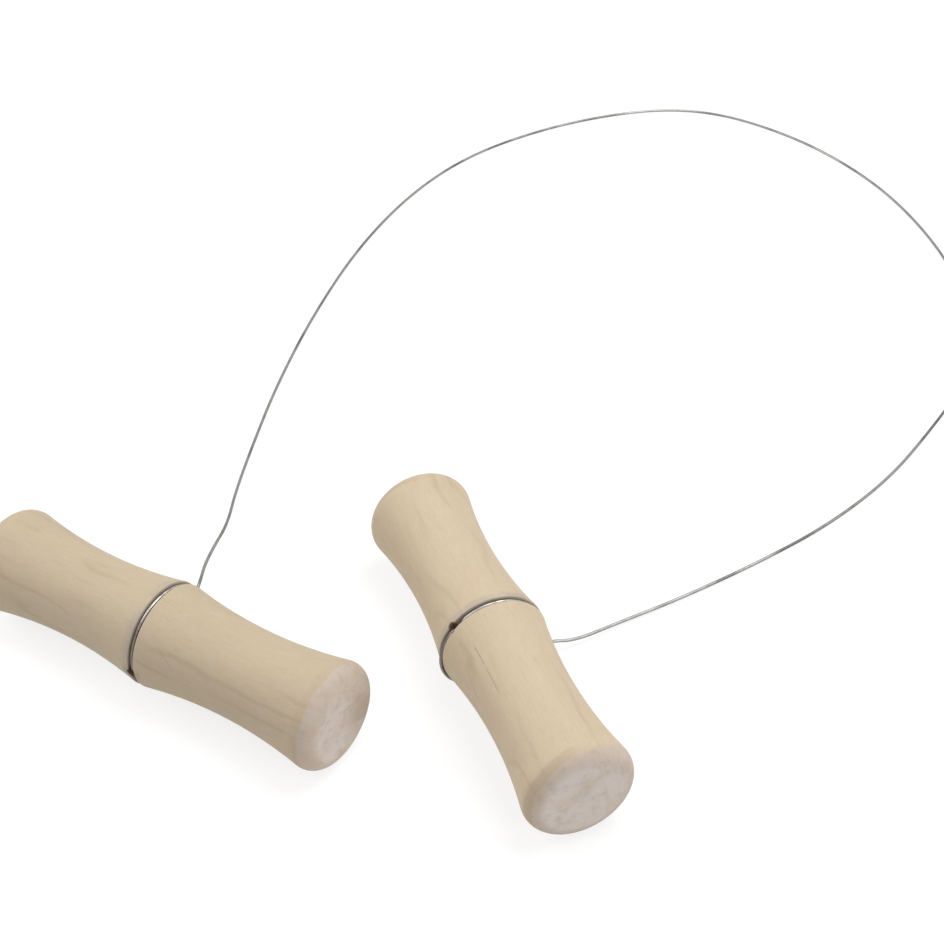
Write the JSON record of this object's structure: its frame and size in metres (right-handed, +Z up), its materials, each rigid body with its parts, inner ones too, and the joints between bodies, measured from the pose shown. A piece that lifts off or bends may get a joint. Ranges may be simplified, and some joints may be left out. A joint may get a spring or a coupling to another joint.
{
  "type": "clay cutter",
  "caption": "Clay cutter: a thin steel wire lying in one wide open loop, its ends passed through and wound round the grooved middles of two turned wooden handles.",
  "frame": {"origin": "on the surface that the cutter lies on, under the middle of the box round both handles", "axes": "+Z up; +Y away from the viewer, towards the far side of the wire loop; +X to the right, from the left handle to the right handle"},
  "size_m": [0.2028, 0.2467, 0.0196],
  "materials": {
    "handle_wood": "bare turned hardwood, matt",
    "wire_steel": "drawn bright wire"
  },
  "bodies": {
    "left_grip": {"handle_left": "handle_wood", "wire_wrap_left": "wire_steel"},
    "loop_left": {"cutting_wire_left": "wire_steel"},
    "loop_right": {"cutting_wire_right": "wire_steel"},
    "right_grip": {"handle_right": "handle_wood", "wire_wrap_right": "wire_steel"}
  },
  "joints": [
    {"name": "left_handle_swing", "type": "hinge", "parent": "left_grip", "child": "loop_left", "pos_m": [-0.01741, 0.01128, 0.01147], "axis": [0, 0, 1], "range_deg": [-12, 35], "stiffness_Nm_per_rad": 0.02},
    {"name": "loop_spread", "type": "hinge", "parent": "loop_left", "child": "loop_right", "pos_m": [0.07692, 0.20758, 0.00037], "axis": [0, 0, 1], "range_deg": [-1, 50], "stiffness_Nm_per_rad": 0.005},
    {"name": "right_handle_swing", "type": "hinge", "parent": "loop_right", "child": "right_grip", "pos_m": [0.04238, 0.00459, 0.00336], "axis": [0, 0, 1], "range_deg": [-30, 30], "stiffness_Nm_per_rad": 0.02}
  ]
}
